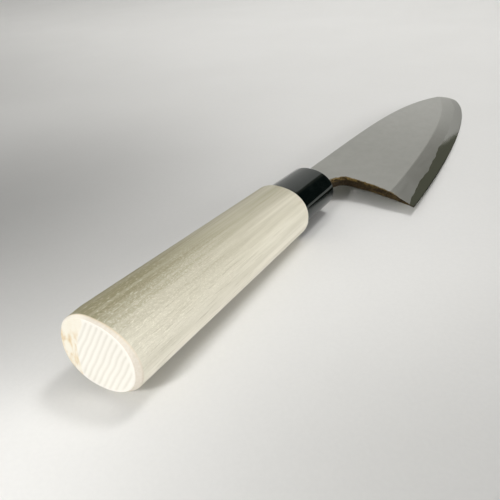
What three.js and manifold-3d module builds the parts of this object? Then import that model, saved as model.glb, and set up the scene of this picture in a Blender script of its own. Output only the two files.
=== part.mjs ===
// A Japanese single-bevel kitchen knife of the short, deep deba form, with an oval wooden handle.
// Millimetres. The origin is the centre of the handle's butt face. +X runs along the handle to the tip,
// +Y points to the spine and +Z out of the bevelled face, so the flat back of the blade faces down.
import * as THREE from 'three';
import { mergeVertices } from 'three/addons/utils/BufferGeometryUtils.js';
import Module from 'manifold-3d';

const wasm = await Module();
wasm.setup();

// Handle: one piece of wood, an oval that narrows in a straight line from the butt to the shoulder
const handleLength = 92;
const buttWidth = 27;
const buttHeight = 20.4;
const ovalPower = 2.2; // 2 is an ellipse, and more makes the sides of the oval squarer
const spineFullnessShare = 0.03; // how much fuller the oval is on its spine side
const buttRimDepth = 1.2;
const buttRimAtSides = 1.7;
const buttRimAtTop = 0.3;
const shoulderStepAtSides = 1.2;
const shoulderStepAtTop = 1.5;
const shoulderRound = 0.7;

// Ferrule: a moulded ring on the wood's spigot, butted against the shoulder
const ferruleLength = 24;
const ferruleWall = 1.6;
const ferruleTaper = 0.5;
const ferruleEdgeRound = 0.5;
const spigotClearance = 0.15;
const spigotRecess = 0.5;
const spigotWoodAtSides = 1.05; // wood between the tang's slot and the ferrule's bore
const spigotWoodAtTop = 3.15;

// Blade outline: the spine drops to the tip, and the edge curves up to meet it
const spineToAxis = 6.3;
const neckBelowAxis = 4.9;
const bladeHeight = 44;
const bladeLength = 145.3; // heel to tip, along the handle
const heelFromFerrule = 9.5;
const tipBelowSpine = 17.2;
const spineStraight = 43.3;

// Choil: the neck's underside sweeps down to a tight root, and from there a shallow bow runs to the heel
const neckStraight = 4.5;
const choilRake = 3.9; // how far the root lies ahead of the heel
const choilSweepLength = 3;
const choilSweepDrop = 3.8;
const choilRootRound = 1.5;
const choilBow = 0.9;

// Blade thickness, the ground face, the bevel and the hollow back
const neckThickness = 4.6;
const thinningToTip = 1.6; // lost from the ferrule to the tip, at the spine
const thinningToEdge = 2.45; // lost from the spine to the heel, before the bevel
const bevelWidth = 10.7;
const edgeLand = 0.12;
const hardSteelThickness = 0.9;
const hardSteelBehindChoil = 4;
const backHollowDepth = 0.35;
const backRimAtEdge = 2.2;
const backRimAtSpine = 3.2;
const backFlatAtChoil = 9;
const backFlatAtTip = 14;

// Tang: it narrows and thins inside the handle, in a slot of the same form
const tangLength = 70;
const tangFull = 9; // length behind the ferrule's front that keeps the neck's section
const tangEndWidth = 6;
const tangEndThickness = 3;
const slotClearance = 0.3;

// Pulls of the two long curves at their ends, as shares of the blade's length and height
const spineStartPullShare = 0.31;
const spineTipPullShare = 0.165;
const spineTipRiseShare = 0.366;
const edgeHeelPullShare = 0.283;
const edgeHeelRiseShare = 0.017;
const edgeTipPullShare = 0.087;
const edgeTipDropShare = 0.416;
const hollowEndPower = 0.4; // below 1 the hollow's ends are blunt and round

// Facets
const ovalFacets = 96;
const curveFacets = 40;
const choilFacets = 8;
const fadeFacets = 6;
const hollowStations = 28;
const hollowFacets = 12;
const roundFacets = 4;
const searchSteps = 40;
const overrun = 3; // how far a cutter stands past what it cuts

// Places worked out from the sizes
const ferruleFront = handleLength + ferruleLength;
const backZ = -neckThickness / 2;
const heel = new THREE.Vector2(ferruleFront + heelFromFerrule, spineToAxis - bladeHeight);
const tip = new THREE.Vector2(heel.x + bladeLength, spineToAxis - tipBelowSpine);
const spineEnd = new THREE.Vector2(ferruleFront + spineStraight, spineToAxis);
const choilRoot = new THREE.Vector2(heel.x + choilRake, -neckBelowAxis - choilSweepDrop);
const tangEnd = ferruleFront - tangLength;
const tangShoulder = ferruleFront - tangFull;
const slotHalfThickness = neckThickness / 2 + slotClearance;
const spigotAtSides = spineToAxis + slotClearance + spigotWoodAtSides;
const spigotAtTop = slotHalfThickness + spigotWoodAtTop;
const boreAtSides = spigotAtSides + spigotClearance;
const boreAtTop = spigotAtTop + spigotClearance;

const spineCurve = new THREE.CubicBezierCurve(
  spineEnd,
  new THREE.Vector2(spineEnd.x + bladeLength * spineStartPullShare, spineToAxis),
  new THREE.Vector2(tip.x - bladeLength * spineTipPullShare, tip.y + bladeHeight * spineTipRiseShare),
  tip,
);
const edgeCurve = new THREE.CubicBezierCurve(
  heel,
  new THREE.Vector2(heel.x + bladeLength * edgeHeelPullShare, heel.y + bladeHeight * edgeHeelRiseShare),
  new THREE.Vector2(tip.x - bladeLength * edgeTipPullShare, tip.y - bladeHeight * edgeTipDropShare),
  tip,
);

// A closed mesh as a solid that can be joined and cut
function solidOf(geometry) {
  const bare = geometry.clone();
  bare.deleteAttribute('normal');
  bare.deleteAttribute('uv');
  const merged = mergeVertices(bare);
  return new wasm.Manifold(new wasm.Mesh({
    numProp: 3,
    vertProperties: new Float32Array(merged.attributes.position.array),
    triVerts: new Uint32Array(merged.index.array),
  }));
}

function geometryOf(solid) {
  const mesh = solid.getMesh();
  const geometry = new THREE.BufferGeometry();
  geometry.setAttribute('position', new THREE.BufferAttribute(mesh.vertProperties, 3));
  geometry.setIndex(new THREE.BufferAttribute(mesh.triVerts, 1));
  geometry.computeVertexNormals();
  return geometry;
}

// The skin between rings that have the same number of points, without its ends.
// Each ring runs anticlockwise as seen from the side that the next ring lies on.
function skinFaces(ringCount, pointCount, joinLastToFirst) {
  const faces = [];
  const steps = joinLastToFirst ? ringCount : ringCount - 1;
  for (let ring = 0; ring < steps; ring++) {
    const here = ring * pointCount;
    const next = ((ring + 1) % ringCount) * pointCount;
    for (let i = 0; i < pointCount; i++) {
      const j = (i + 1) % pointCount;
      faces.push(here + i, here + j, next + j);
      faces.push(here + i, next + j, next + i);
    }
  }
  return faces;
}

function geometryFrom(rings, faces) {
  const numbers = rings.flat().flatMap((point) => [point.x, point.y, point.z]);
  const geometry = new THREE.BufferGeometry();
  geometry.setAttribute('position', new THREE.Float32BufferAttribute(numbers, 3));
  geometry.setIndex(faces);
  return geometry;
}

// A solid through convex rings, with a flat cap at each end
function cappedLoft(rings) {
  const count = rings[0].length;
  const faces = skinFaces(rings.length, count, false);
  const last = (rings.length - 1) * count;
  for (let i = 1; i < count - 1; i++) {
    faces.push(0, i + 1, i);
    faces.push(last, last + i, last + i + 1);
  }
  return solidOf(geometryFrom(rings, faces));
}

// A solid whose section runs round through all the rings and back to the first
function ringLoft(rings) {
  return solidOf(geometryFrom(rings, skinFaces(rings.length, rings[0].length, true)));
}

// The handle's oval at one place along X
function oval(x, halfWidth, halfHeight) {
  const bulge = (value) => Math.sign(value) * Math.abs(value) ** (2 / ovalPower);
  const ring = [];
  for (let i = 0; i < ovalFacets; i++) {
    const angle = (2 * Math.PI * i) / ovalFacets;
    const across = bulge(Math.cos(angle));
    const fullness = 1 + spineFullnessShare * across;
    ring.push(new THREE.Vector3(x, halfWidth * across, halfHeight * fullness * bulge(Math.sin(angle))));
  }
  return ring;
}

// Ovals that round off an outer edge which lies at this X and faces forward
function roundedEnd(x, halfWidth, halfHeight, radius) {
  const rings = [];
  for (let i = 0; i <= roundFacets; i++) {
    const angle = (Math.PI / 2) * (i / roundFacets);
    const inset = radius * (1 - Math.cos(angle));
    rings.push(oval(x - radius * (1 - Math.sin(angle)), halfWidth - inset, halfHeight - inset));
  }
  return rings;
}

// A four-sided section across X. Its low side slopes from one Z at the low Y to another at the high Y.
function section(x, lowY, highY, zAtLowY, zAtHighY, topZ) {
  return [
    new THREE.Vector3(x, highY, zAtHighY),
    new THREE.Vector3(x, highY, topZ),
    new THREE.Vector3(x, lowY, topZ),
    new THREE.Vector3(x, lowY, zAtLowY),
  ];
}

// Control point of a shallow bow between two points, which stands this far to the left of their line
function bowControl(from, to, height) {
  const along = to.clone().sub(from).normalize();
  const middle = from.clone().lerp(to, 1 / 2);
  return middle.addScaledVector(new THREE.Vector2(-along.y, along.x), 2 * height);
}

function choilPoints() {
  const neckEnd = new THREE.Vector2(ferruleFront + neckStraight, -neckBelowAxis);
  const sweepControl = new THREE.Vector2(choilRoot.x - choilSweepLength, -neckBelowAxis);
  const half = choilRootRound / 2;
  const rootControl = new THREE.Vector2(choilRoot.x + half, choilRoot.y - half);
  const rootEnd = new THREE.Vector2(choilRoot.x + half / 2, choilRoot.y - choilRootRound);
  const sweep = new THREE.QuadraticBezierCurve(neckEnd, sweepControl, choilRoot);
  const root = new THREE.QuadraticBezierCurve(choilRoot, rootControl, rootEnd);
  const bow = new THREE.QuadraticBezierCurve(rootEnd, bowControl(rootEnd, heel, choilBow), heel);
  return [sweep, root, bow].flatMap((curve) => curve.getPoints(choilFacets).slice(0, -1));
}

// The blade and its tang as cut from the bar, seen from above
function bladeOutline() {
  return new THREE.Shape([
    new THREE.Vector2(tangEnd, -tangEndWidth / 2),
    new THREE.Vector2(tangShoulder, -neckBelowAxis),
    ...choilPoints(),
    ...edgeCurve.getPoints(curveFacets).slice(0, -1),
    ...spineCurve.getPoints(curveFacets).reverse(),
    new THREE.Vector2(tangShoulder, spineToAxis),
    new THREE.Vector2(tangEnd, tangEndWidth / 2),
  ]);
}

// Height of the ground face. It leaves the ferrule level and thins to the tip and to the edge.
function faceHeight(x, y) {
  const toTip = (x - ferruleFront) / (tip.x - ferruleFront);
  const toEdge = (spineToAxis - y) / bladeHeight;
  const fade = THREE.MathUtils.smoothstep(x, ferruleFront, heel.x);
  return neckThickness / 2 - thinningToTip * toTip - thinningToEdge * toEdge * fade;
}

// All that lies above the ground face
function faceGrinder() {
  const lowY = heel.y - overrun;
  const highY = spineToAxis + overrun;
  const places = [];
  for (let i = 0; i <= fadeFacets; i++) {
    places.push(ferruleFront + heelFromFerrule * (i / fadeFacets));
  }
  places.push(tip.x + overrun);
  return cappedLoft(places.map((x) => {
    return section(x, lowY, highY, faceHeight(x, lowY), faceHeight(x, highY), neckThickness);
  }));
}

// One section of the space above the bevel: a straight line from the edge up to the ridge, run on both ways
function bevelSection(point, inward) {
  const ridge = point.clone().addScaledVector(inward, bevelWidth);
  const landZ = backZ + edgeLand;
  const slope = (faceHeight(ridge.x, ridge.y) - landZ) / bevelWidth;
  const inner = ridge.clone().addScaledVector(inward, overrun);
  const outer = point.clone().addScaledVector(inward, -overrun);
  return [
    new THREE.Vector3(inner.x, inner.y, landZ + slope * (bevelWidth + overrun)),
    new THREE.Vector3(inner.x, inner.y, neckThickness),
    new THREE.Vector3(outer.x, outer.y, neckThickness),
    new THREE.Vector3(outer.x, outer.y, landZ - slope * overrun),
  ];
}

// All that lies above the bevel, swept along the edge and past both of its ends
function bevelGrinder() {
  const rings = [];
  for (let i = 0; i <= curveFacets; i++) {
    const point = edgeCurve.getPoint(i / curveFacets);
    const along = edgeCurve.getTangent(i / curveFacets);
    const inward = new THREE.Vector2(-along.y, along.x);
    if (i === 0) {
      rings.push(bevelSection(point.clone().addScaledVector(along, -choilRake - overrun), inward));
    }
    rings.push(bevelSection(point, inward));
    if (i === curveFacets) {
      rings.push(bevelSection(point.clone().addScaledVector(along, overrun), inward));
    }
  }
  return cappedLoft(rings);
}

// Y of a curve that runs forward in X, at one X
function heightAt(curve, x) {
  let low = 0;
  let high = 1;
  for (let i = 0; i < searchSteps; i++) {
    const middle = (low + high) / 2;
    if (curve.getPoint(middle).x < x) {
      low = middle;
    } else {
      high = middle;
    }
  }
  return curve.getPoint(low).y;
}

// One section of the back's hollow: the arc that a wheel of constant radius leaves between two heights
function hollowSection(x, lowY, highY) {
  const widest = bladeHeight - backRimAtEdge - backRimAtSpine;
  const depth = backHollowDepth * ((highY - lowY) / widest) ** 2;
  const ring = [];
  for (let i = 0; i <= hollowFacets; i++) {
    const across = 1 - 2 * (i / hollowFacets);
    const y = THREE.MathUtils.lerp(lowY, highY, (1 + across) / 2);
    ring.push(new THREE.Vector3(x, y, backZ + depth * (1 - across * across)));
  }
  ring.push(new THREE.Vector3(x, lowY, backZ - overrun));
  ring.push(new THREE.Vector3(x, highY, backZ - overrun));
  return ring;
}

// The hollow ground into the back. A flat rim of even width is left along the edge and the spine,
// and the hollow closes in a round end before the choil and before the tip.
function backGrinder() {
  const start = choilRoot.x + backFlatAtChoil;
  const end = tip.x - backFlatAtTip;
  const rings = [];
  for (let i = 1; i < hollowStations; i++) {
    const turn = Math.PI * (i / hollowStations);
    const x = THREE.MathUtils.lerp(start, end, (1 - Math.cos(turn)) / 2);
    const spineY = x < spineEnd.x ? spineToAxis : heightAt(spineCurve, x);
    const lowY = heightAt(edgeCurve, x) + backRimAtEdge;
    const highY = spineY - backRimAtSpine;
    const middle = (lowY + highY) / 2;
    const half = ((highY - lowY) / 2) * Math.sin(turn) ** hollowEndPower;
    rings.push(hollowSection(x, middle - half, middle + half));
  }
  return cappedLoft(rings);
}

// The wedge above the tang, or the one below it, which thins the tang to its end
function tangWedge(isAbove) {
  const wide = spineToAxis + overrun;
  const slope = (neckThickness - tangEndThickness) / 2 / (tangShoulder - tangEnd);
  const pastEndZ = tangEndThickness / 2 - slope * overrun;
  const full = neckThickness / 2;
  const rings = [
    section(tangEnd - overrun, -wide, wide, pastEndZ, pastEndZ, full + overrun),
    section(tangShoulder, -wide, wide, full, full, full + overrun),
  ];
  if (isAbove) {
    return cappedLoft(rings);
  }
  return cappedLoft(rings.map((ring) => ring.map((point) => new THREE.Vector3(point.x, -point.y, -point.z))));
}

function makeBlade() {
  const bar = new THREE.ExtrudeGeometry(bladeOutline(), { depth: neckThickness, bevelEnabled: false });
  bar.translate(0, 0, backZ);
  const ground = solidOf(bar)
    .subtract(tangWedge(true))
    .subtract(tangWedge(false))
    .subtract(faceGrinder())
    .subtract(bevelGrinder())
    .subtract(backGrinder());
  const layerStart = choilRoot.x - hardSteelBehindChoil;
  const layerLength = tip.x + overrun - layerStart;
  const layer = new THREE.BoxGeometry(layerLength, bladeHeight + 2 * overrun, hardSteelThickness + overrun);
  layer.translate(
    layerStart + layerLength / 2,
    spineToAxis - bladeHeight / 2,
    backZ + (hardSteelThickness - overrun) / 2,
  );
  const hardLayer = solidOf(layer);
  return {
    softIron: geometryOf(ground.subtract(hardLayer)),
    hardSteel: geometryOf(ground.intersect(hardLayer)),
  };
}

// The slot for the tang, open at the spigot's end
function tangSlot() {
  const halfWidthAtEnd = tangEndWidth / 2 + slotClearance;
  const halfThicknessAtEnd = tangEndThickness / 2 + slotClearance;
  const lowY = -neckBelowAxis - slotClearance;
  const highY = spineToAxis + slotClearance;
  const slotSection = (x) => section(x, lowY, highY, -slotHalfThickness, -slotHalfThickness, slotHalfThickness);
  return cappedLoft([
    section(
      tangEnd - slotClearance, -halfWidthAtEnd, halfWidthAtEnd,
      -halfThicknessAtEnd, -halfThicknessAtEnd, halfThicknessAtEnd,
    ),
    slotSection(tangShoulder),
    slotSection(ferruleFront + overrun),
  ]);
}

function makeHandle() {
  const shoulderAtSides = boreAtSides + ferruleWall + ferruleTaper + shoulderStepAtSides;
  const shoulderAtTop = boreAtTop + ferruleWall + ferruleTaper + shoulderStepAtTop;
  const wood = cappedLoft([
    oval(0, buttWidth / 2 - buttRimAtSides, buttHeight / 2 - buttRimAtTop),
    oval(buttRimDepth, buttWidth / 2, buttHeight / 2),
    ...roundedEnd(handleLength, shoulderAtSides, shoulderAtTop, shoulderRound),
    oval(handleLength, spigotAtSides, spigotAtTop),
    oval(ferruleFront - spigotRecess, spigotAtSides, spigotAtTop),
  ]);
  return geometryOf(wood.subtract(tangSlot()));
}

function makeFerrule() {
  const frontAtSides = boreAtSides + ferruleWall;
  const frontAtTop = boreAtTop + ferruleWall;
  return geometryOf(ringLoft([
    oval(handleLength, boreAtSides, boreAtTop),
    oval(handleLength, frontAtSides + ferruleTaper, frontAtTop + ferruleTaper),
    ...roundedEnd(ferruleFront, frontAtSides, frontAtTop, ferruleEdgeRound),
    oval(ferruleFront, boreAtSides, boreAtTop),
  ]));
}

function named(name, geometry, color, roughness, metalness) {
  const mesh = new THREE.Mesh(geometry, new THREE.MeshStandardMaterial({ color, roughness, metalness }));
  mesh.name = name;
  return mesh;
}

const blade = makeBlade();
const knife = new THREE.Group();
knife.add(named('wooden_handle', makeHandle(), 0xd0cab4, 0.75, 0));
knife.add(named('ferrule', makeFerrule(), 0x15191a, 0.2, 0));
knife.add(named('blade_and_tang', blade.softIron, 0x9a9b96, 0.4, 1));
knife.add(named('cutting_steel', blade.hardSteel, 0x76776f, 0.2, 1));

export default knife;
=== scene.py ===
import math

import bpy
import numpy as np
from mathutils import Matrix, Vector, noise


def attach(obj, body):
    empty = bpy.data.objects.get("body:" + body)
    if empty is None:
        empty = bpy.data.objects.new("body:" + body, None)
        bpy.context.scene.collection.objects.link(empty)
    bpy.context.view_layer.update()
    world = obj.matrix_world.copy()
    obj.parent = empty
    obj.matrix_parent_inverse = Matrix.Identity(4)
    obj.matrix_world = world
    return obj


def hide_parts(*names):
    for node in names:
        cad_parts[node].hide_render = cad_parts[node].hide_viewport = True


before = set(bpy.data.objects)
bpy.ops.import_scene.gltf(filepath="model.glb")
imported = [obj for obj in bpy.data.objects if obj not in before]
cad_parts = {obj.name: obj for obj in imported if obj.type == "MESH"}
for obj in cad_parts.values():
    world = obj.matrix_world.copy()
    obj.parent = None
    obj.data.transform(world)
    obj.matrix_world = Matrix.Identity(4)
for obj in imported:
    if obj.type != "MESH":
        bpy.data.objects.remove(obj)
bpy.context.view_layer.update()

bl_info = {
    "name": "Deba Knife",
    "version": (1, 0, 0),
    "blender": (4, 5, 0),
    "location": "3D View > Sidebar > Knife",
    "description": "A Japanese single-bevel kitchen knife with an oval wooden handle",
    "category": "Add Mesh",
}

MM = 0.001

# Handle and ferrule, in millimetres, as in the solids: X runs from the butt to the tip, Y to the spine, Z off
# the bevelled face. Pairs are half the width and half the height of the oval.
OVAL_POWER = 2.2
SPINE_FULLNESS = 0.03
SHOULDER_X = 92.0
FERRULE_FRONT = 116.0
BUTT_FACE = (11.8, 9.9)
BUTT_RIM = (13.5, 10.2)
BUTT_RIM_DEPTH = 1.2
SHOULDER = (11.1, 9.5)
SPIGOT = (7.65, 5.75)
SPIGOT_END = 115.5
FERRULE_BACK = (9.9, 8.0)
FERRULE_TOP = (9.4, 7.5)
BORE = (7.8, 5.9)
# How many points go round the handle and the ferrule
HANDLE_SIDES = 320
FERRULE_SIDES = 192
# How the saw marks lean on the butt
SAW_LEAN = math.radians(27)
# From this angle on an edge is shaded as a crease
TURNED_CREASE = math.radians(50)
IRON_CREASE = math.radians(28)
STEEL_CREASE = math.radians(8)

# Blade, in millimetres
SPINE_Y = 6.3
NECK_Y = -4.9
NECK_HALF = 2.3
BACK_Z = -2.3
HEEL = (125.5, -37.7)
TIP = (270.8, -10.9)
EDGE = (HEEL, (166.6199, -36.952), (258.1589, -29.204), TIP)
SPINE = ((159.3, SPINE_Y), (204.343, SPINE_Y), (246.8255, 5.204), TIP)
CHOIL_ROOT = (128.7, -7.75)
ROOT_CONTROL = (129.8, -9.2)
ROOT_END = (129.74, -11.4)
CHOIL_BOW = 0.86
NECK_END = (120.5, NECK_Y)
SWEEP_CONTROL = (126.4, NECK_Y)
TANG_END = 46.0
TANG_SHOULDER = 107.0
TANG_END_HALF_WIDTH = 3.0
TANG_END_HALF = 1.5
SLOT_GAP = 0.3
BEVEL_WIDTH = 10.7
LAYER_Z = -1.4
LAYER_START = 125.4
# How far inside the strip's border the steels' joint turns level, and the hair's breadth kept between parts
LAYER_TURN = 6.0
HAIR = 0.02
THIN_TO_TIP = 1.6
THIN_TO_EDGE = 2.45
BLADE_HEIGHT = 44.0
# Angle between the ground face and the bevel, in radians
RIDGE_ANGLE = 0.09
# The bevel aims at this height above the back, and a steeper honed micro-bevel cuts it off down to the land
BEVEL_FOOT = 0.12
EDGE_LAND = 0.03
MICRO_SLOPE = 0.9
# The back's hollow: its depth where it is widest, half its width there, how far from the choil's root it
# starts and before the tip it ends, and the flat rims along the edge and along the spine
HOLLOW_DEPTH = 0.35
HOLLOW_HALF = 19.3
HOLLOW_ENDS = (9.7, 14.0)
HOLLOW_RIMS = (2.2, 3.2)
# The worn tip: how far it is pulled in, and how far round it that reaches
TIP_ROUND = (-1.1, -0.2)
TIP_ROUND_REACH = 5.0
# X and width of the strip of hard steel on the bevel
STRIP_WIDTHS = (
    (125, 130, 136, 144, 160, 178, 192, 215, 240, 271), (2.1, 2.5, 3.0, 3.9, 4.2, 4.6, 5.1, 4.9, 4.4, 3.6),
)
# No bevel lies before this X, and forge scale covers the choil's walls up to this X and Y
BEVEL_START = 124.0
SCALE_END = (131.0, -4.0)

# Mesh of the blade, in millimetres: how close its rows lie to a ridge or a border, so that it shades crisply,
# how many rows the bevel and the face have between these, and the strip's rows as shares of its width
NEAR_ROWS = np.array((0.0, 0.14, 0.3, 0.5, 0.8, 1.2))
BEVEL_ROWS = (6,)
FACE_ROWS = (18, 7, 15)
STRIP_ROWS = (0, 0.02, 0.05, 0.08, 0.15, 0.3, 0.45, 0.6, 0.75, 0.9, 0.97, 1)
# The edge's rough length, where its first columns are, and how many more there are up to the bevel's end at
# the spine and from there to the tip of the iron and of the steel
EDGE_LENGTH = 150.0
FIRST_COLUMNS = (0, 0.12, 0.3, 0.6, 1.0, 1.5, 2.1)
BEVEL_COLUMNS = 165
IRON_TIP_COLUMNS = 40
STEEL_TIP_COLUMNS = 52
# How far the columns still follow the choil's line, and on what share of the edge the border falls in step
CHOIL_REACH = 14.0
START_SHARE = 0.09
# Steps on the round at the choil's root, and the neck's last columns before it
ROOT_STEPS = 32
CHOIL_COLUMNS = (*np.arange(125.8, 128.4, 0.4), CHOIL_ROOT[0])
# How many points are measured against a line at a time
CHUNK = 4000


def linear(colour):
    """An sRGB hex value as the linear colour that a shader takes."""
    parts = [int(colour[i:i + 2], 16) / 255 for i in (1, 3, 5)]
    return tuple(p / 12.92 if p <= 0.04045 else ((p + 0.055) / 1.055) ** 2.4 for p in parts) + (1.0,)


def size(name, description, millimetres):
    return bpy.props.FloatProperty(
        name=name, description=description, default=millimetres * MM, min=0,
        unit="LENGTH", subtype="DISTANCE", precision=5,
    )


def tint(name, description, colour):
    return bpy.props.FloatVectorProperty(
        name=name, description=description, default=linear(colour), size=4, min=0, max=1, subtype="COLOR",
    )


class DebaKnife(bpy.types.PropertyGroup):
    """Sizes and colours of the knife that a user would change"""
    rim_round: size("Butt rim round", "How far the rim's round runs to each side of its corner", 0.5)
    shoulder_round: size("Shoulder round", "How far its round runs to each side of its corner", 0.7)
    saw_pitch: size("Saw mark pitch", "Distance between the saw marks on the butt", 1.62)
    saw_depth: size("Saw mark depth", "Depth of the saw marks on the butt", 0.06)
    ferrule_round: size("Ferrule edge round", "How far the front edge's round runs", 0.5)
    ridge_softness: size("Ridge softness", "Width over which the ground face turns into the bevel", 0.8)
    edge_break: size("Edge break", "Round of the spine's and the choil's edges", 0.3)
    choil_roughness: size("Choil roughness", "How uneven the filed outline of the choil is", 0.3)
    border_waviness: bpy.props.FloatProperty(
        name="Border waviness", default=1.0, min=0, max=3,
        description="How much the strip's border wavers: 1 is as on a hand-forged blade",
    )
    wood_light: tint("Wood, light", "Sapwood between the streaks", "#e9e4d4")
    # The dark wood colour paints both the olive streaks and the painted shade on the handle's upper spine
    # side
    wood_dark_and_shade: tint("Wood, dark", "Olive streaks of the heartwood", "#868061")
    # The end grain is painted paler than the side grain, for the strong light on the butt
    lit_end_grain: tint("End grain", "Sawn face of the butt", "#f3efe6")
    ferrule_black: tint("Ferrule", "Black plastic of the ferrule", "#060b0a")
    iron: tint("Soft iron", "Ground face and bevel", "#a6a6a1")
    steel: tint("Hard steel", "Strip along the edge and the back", "#b9baae")
    scale: tint("Forge scale", "Brown scale in the choil", "#2a1e0a")
    paper: tint("Floor", "Paper sheet under the knife", "#e6e5e2")


def mode(name):
    bpy.ops.object.mode_set(mode=name)


def deselect():
    if bpy.context.object and bpy.context.object.mode != "OBJECT":
        mode("OBJECT")
    bpy.ops.object.select_all(action="DESELECT")


def ease(value):
    """Smooth step: 0 below 0, 1 above 1, and soft at both ends."""
    value = np.clip(value, 0, 1)
    return value * value * (3 - 2 * value)


# Plan of the blade

def bezier(points, t):
    """Places on the curve that these control points give."""
    points, t = [np.array(p, float) for p in points], np.asarray(t, float)[..., None]
    while len(points) > 1:
        points = [(1 - t) * a + t * b for a, b in zip(points, points[1:])]
    return points[0]


def edge_slope(t):
    """How the edge's place changes with its share."""
    return 3 * bezier(np.diff(EDGE, axis=0), t)


def inward(t):
    """Unit vectors across the edge, from it to the spine."""
    along = edge_slope(t)
    across = np.stack([-along[..., 1], along[..., 0]], -1)
    return across / np.linalg.norm(across, axis=-1, keepdims=True)


SPINE_LINE = np.vstack([[(20.0, SPINE_Y)], bezier(SPINE, np.linspace(0, 1, 2001))])
EDGE_LINE = bezier(EDGE, np.linspace(0, 1, 2001))


def spine_y(x):
    return np.interp(x, *SPINE_LINE.T)


def edge_y(x):
    return np.interp(x, *EDGE_LINE.T)


def nearest(points, line):
    """Which of the line's points is nearest to each point, and how far away it is."""
    which, gap = np.empty(len(points), int), np.empty(len(points))
    for start in range(0, len(points), CHUNK):
        some = slice(start, start + CHUNK)
        squares = ((points[some, None] - line[None]) ** 2).sum(-1)
        which[some], gap[some] = squares.argmin(1), np.sqrt(squares.min(1))
    return which, gap


def edge_place(x, y):
    """The nearest place on the edge, as its share of the curve, and how far the point lies inside it."""
    point = np.stack([x, y], -1)
    steps = np.linspace(0, 1, 161)
    t = steps[nearest(point, bezier(EDGE, steps))[0]]
    for _ in range(6):
        gap, along = point - bezier(EDGE, t), edge_slope(t)
        t = np.clip(t + (gap * along).sum(-1) / (along ** 2).sum(-1), 0, 1)
    return t, ((point - bezier(EDGE, t)) * inward(t)).sum(-1)


def reach(t):
    """How far it is across the blade from the edge to the spine."""
    low, high = np.zeros(len(t)), np.full(len(t), 60.0)
    start, way = bezier(EDGE, t), inward(t)
    for _ in range(50):
        middle = (low + high) / 2
        point = start + way * middle[:, None]
        inside = (point[:, 1] < spine_y(point[:, 0])) & (point[:, 0] < TIP[0])
        low, high = np.where(inside, middle, low), np.where(inside, high, middle)
    return low


def border_width(t):
    """Width of the strip of hard steel that the bevel lays bare: it widens from the heel, in slow waves."""
    x = bezier(EDGE, t)[..., 0]
    waves = 0.16 * np.sin(x / 2.9) + 0.11 * np.sin(x / 1.3 + 1.0) + 0.2 * np.sin(x / 7.1 + 0.6)
    return np.interp(x, *STRIP_WIDTHS) + bpy.context.scene.deba_knife.border_waviness * waves


def file_marks(line, offset):
    """How far a filed outline stands off its true line at each point."""
    depth = bpy.context.scene.deba_knife.choil_roughness / MM
    return depth * np.array([
        noise.noise(Vector((p[0] * 0.2, p[1] * 0.4 + offset, 3.7)))
        + 0.6 * noise.noise(Vector((p[0] * 0.5, p[1] * 1.1, offset))) for p in line
    ])


def choil_line():
    """The choil's outline from the heel up to the root, with the small unevenness of hand filing."""
    x, y = np.subtract(HEEL, ROOT_END) / math.dist(HEEL, ROOT_END)
    control = np.add(HEEL, ROOT_END) / 2 + 2 * CHOIL_BOW * np.array((-y, x))
    bow = bezier((HEEL, control, ROOT_END), np.linspace(0, 1, 161))
    root = bezier((ROOT_END, ROOT_CONTROL, CHOIL_ROOT), np.linspace(0, 1, ROOT_STEPS + 1))[1:]
    line = np.vstack([bow, root])
    y = line[:, 1]
    line[:, 0] += file_marks(line, 0.3) * ease((y - HEEL[1]) / 6) * ease((CHOIL_ROOT[1] - y) / 1.5)
    return line


def under_line():
    """The neck's underside, from the tang's end through the ferrule to the choil's root."""
    sweep = bezier((NECK_END, SWEEP_CONTROL, CHOIL_ROOT), np.linspace(0, 1, 81))
    x = sweep[:, 0]
    sweep[:, 1] += file_marks(sweep, 5.1) * ease((x - NECK_END[0]) / 2) * ease((CHOIL_ROOT[0] - x) / 1.2)
    return np.vstack([[(TANG_END, -TANG_END_HALF_WIDTH), (TANG_SHOULDER, NECK_Y)], sweep])


def upper_y(x):
    above = ((TANG_END, TANG_SHOULDER), (TANG_END_HALF_WIDTH, SPINE_Y))
    return np.where(x < TANG_SHOULDER, np.interp(x, *above), spine_y(x))


def from_line(points, line):
    """Distance of points from a polyline that has its own points close together."""
    return nearest(points.reshape(-1, 2), line)[1].reshape(points.shape[:-1])


# Heights of the blade

def tang_half(x):
    return np.interp(x, (TANG_END, TANG_SHOULDER), (TANG_END_HALF, NECK_HALF))


def face_height(x, y):
    """The ground face: level at the ferrule, thinner to the tip and to the edge."""
    to_tip = (x - FERRULE_FRONT) / (TIP[0] - FERRULE_FRONT)
    fade = ease((x - FERRULE_FRONT) / (HEEL[0] - FERRULE_FRONT))
    ground = NECK_HALF - THIN_TO_TIP * to_tip - THIN_TO_EDGE * (SPINE_Y - y) / BLADE_HEIGHT * fade
    return np.where(x < FERRULE_FRONT, tang_half(x), ground)


def bevel_height(t, inside):
    """The bevel: a straight cut from the ridge down to the edge, where it ends in the micro-bevel."""
    ridge = bezier(EDGE, t) + BEVEL_WIDTH * inward(t)
    low = BACK_Z + BEVEL_FOOT
    slope = (face_height(*ridge.T) - low) / BEVEL_WIDTH
    return np.minimum(low + slope * inside, BACK_Z + EDGE_LAND + MICRO_SLOPE * inside)


def top_height(x, y):
    """The lower of the ground face and the bevel, with the ridge between them worn a little soft."""
    t, inside = edge_place(x, y)
    face, bevel = face_height(x, y), bevel_height(t, inside)
    soft = bpy.context.scene.deba_knife.ridge_softness / MM * RIDGE_ANGLE
    closeness = np.clip(1 - np.abs(face - bevel) / soft, 0, 1)
    return np.where(x > BEVEL_START, np.minimum(face, bevel) - closeness ** 2 * soft / 4, face)


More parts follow.
